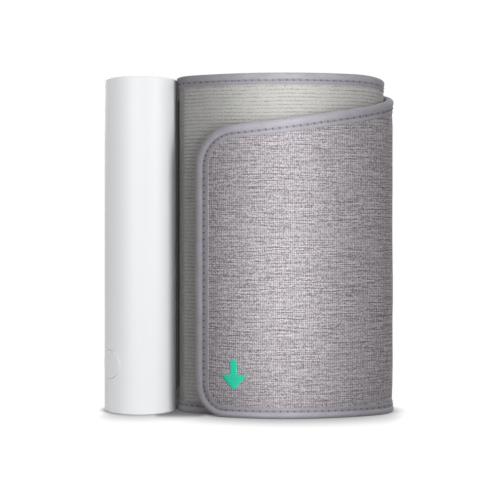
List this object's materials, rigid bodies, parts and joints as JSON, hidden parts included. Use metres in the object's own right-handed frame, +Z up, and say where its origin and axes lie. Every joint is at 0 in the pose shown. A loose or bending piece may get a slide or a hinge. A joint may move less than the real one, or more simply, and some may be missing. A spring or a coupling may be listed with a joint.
{
  "type": "blood pressure monitor",
  "caption": "Upper-arm blood pressure monitor: a white tube housing with a push button stands beside its rolled fabric cuff, whose bound flap peels open.",
  "frame": {"origin": "on the standing surface, under the middle of the whole object's box", "axes": "+Z up along the tube, +X from the tube to the rolled cuff, -Y the way the flap's face looks"},
  "size_m": [0.1316, 0.048, 0.152],
  "materials": {
    "white_shell": "satin moulded white plastic",
    "dark_plastic": "black moulded plastic",
    "grey_plastic": "grey moulded plastic",
    "circuit_board": "green solder mask",
    "lights": "clear resin",
    "steel": "plain steel",
    "copper": "enamelled copper wire",
    "battery_wrap": "shrink wrap",
    "rubber": "soft rubber",
    "bladder": "welded film",
    "melange_fabric": "melange weave",
    "loop_fabric": "ribbed loop knit",
    "lining_fabric": "smooth coated lining",
    "padding": "felted padding",
    "edge_tape": "woven edge tape",
    "teal_print": "raised print"
  },
  "bodies": {
    "root": {"tube_housing": "white_shell", "bottom_cap": "white_shell", "top_cap": "white_shell", "tact_switch": "dark_plastic", "chassis": "grey_plastic", "main_board": "circuit_board", "board_screws": "steel", "board_chips": "dark_plastic", "radio_module": "steel", "usb_port": "steel", "led_matrix": "lights", "light_mask": "dark_plastic", "battery_cell": "battery_wrap", "pump_motor": "steel", "pump_damper": "rubber", "pump_head": "dark_plastic", "pump_drive_plate": "dark_plastic", "pump_diaphragm": "rubber", "pump_cover": "dark_plastic", "pump_hose": "rubber", "air_manifold": "dark_plastic", "pressure_sensor": "dark_plastic", "nozzle_gasket": "rubber", "valve_body": "dark_plastic", "valve_seat": "rubber", "valve_coil": "copper", "valve_spring": "steel", "rail_bar": "dark_plastic", "rail_screws": "steel", "cuff_rail": "dark_plastic", "air_nozzle": "dark_plastic", "outer_skin": "melange_fabric", "outer_padding": "padding", "cuff_bladder": "bladder", "outer_lining": "lining_fabric", "outer_top_binding": "edge_tape", "outer_bottom_binding": "edge_tape", "loop_skin": "loop_fabric", "inner_padding": "padding", "inner_lining": "lining_fabric", "inner_top_binding": "edge_tape", "inner_bottom_binding": "edge_tape", "inner_end_binding": "edge_tape"},
    "flap": {"flap_skin": "melange_fabric", "flap_padding": "padding", "flap_lining": "lining_fabric", "flap_binding": "edge_tape", "hook_patch": "dark_plastic", "index_mark": "teal_print"},
    "button": {"button_cap": "white_shell", "switch_actuator": "dark_plastic"},
    "pump_rotor": {"pump_shaft": "steel"},
    "valve_core": {"valve_plunger": "steel"}
  },
  "joints": [
    {"name": "flap_peel", "type": "hinge", "parent": "root", "child": "flap", "pos_m": [0.05075, -0.0172, 0], "axis": [0, 0, 1], "range_deg": [0, 90]},
    {"name": "button_press", "type": "slide", "parent": "root", "child": "button", "axis": [0.7934, 0.6088, 0], "range_m": [0, 0.0005], "stiffness_N_per_m": 2000},
    {"name": "pump_spin", "type": "hinge", "parent": "root", "child": "pump_rotor", "pos_m": [-0.04642, 0.0065, 0.103], "axis": [0, 0, 1], "continuous": true},
    {"name": "valve_shift", "type": "slide", "parent": "root", "child": "valve_core", "axis": [0, 0, -1], "range_m": [0, 0.0008], "stiffness_N_per_m": 400}
  ]
}
